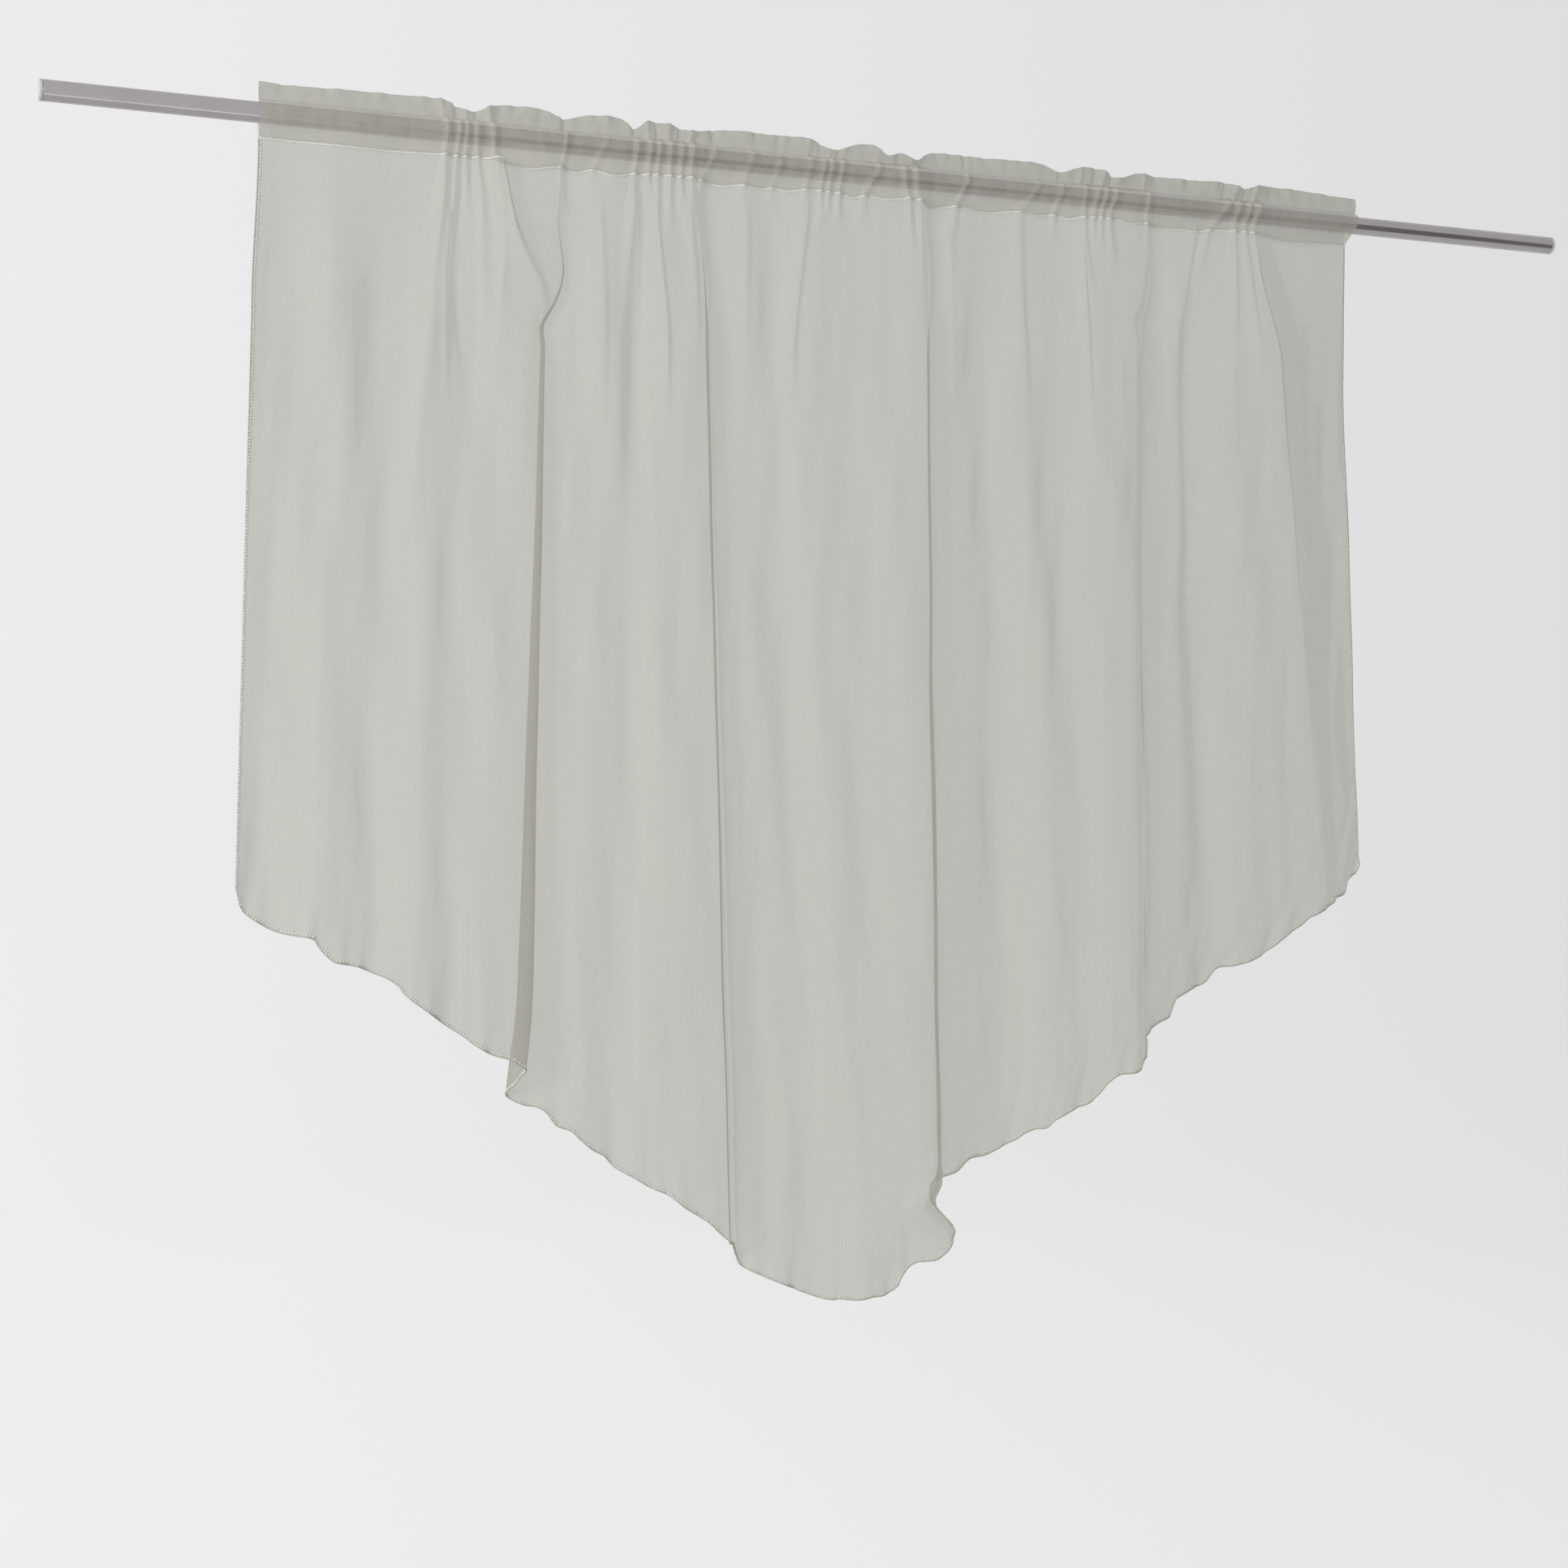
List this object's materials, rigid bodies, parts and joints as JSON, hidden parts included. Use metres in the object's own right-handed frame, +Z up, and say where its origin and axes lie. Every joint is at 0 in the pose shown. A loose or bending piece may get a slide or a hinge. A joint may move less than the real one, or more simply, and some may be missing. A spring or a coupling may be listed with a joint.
{
  "type": "cafe curtain on a curtain rod",
  "caption": "Sheer cafe curtain with a pointed hem, gathered by a rod pocket with a ruffled heading on a slim round metal rod with end plugs.",
  "frame": {"origin": "on the rod's axis at mid-length, where the wall's supports hold the rod", "axes": "+X along the rod to the right as seen from the room, +Y away from the room to the wall, +Z up"},
  "size_m": [1.905, 0.0952, 1.3343],
  "materials": {
    "voile": "sheer plain-woven voile, warm pale grey",
    "satin_nickel": "satin nickel plate, brushed along the tube",
    "pale_plastic": "moulded satin plastic"
  },
  "bodies": {
    "root": {"curtain": "voile", "rod": "satin_nickel", "plug_right": "pale_plastic", "plug_left": "pale_plastic"}
  },
  "joints": []
}
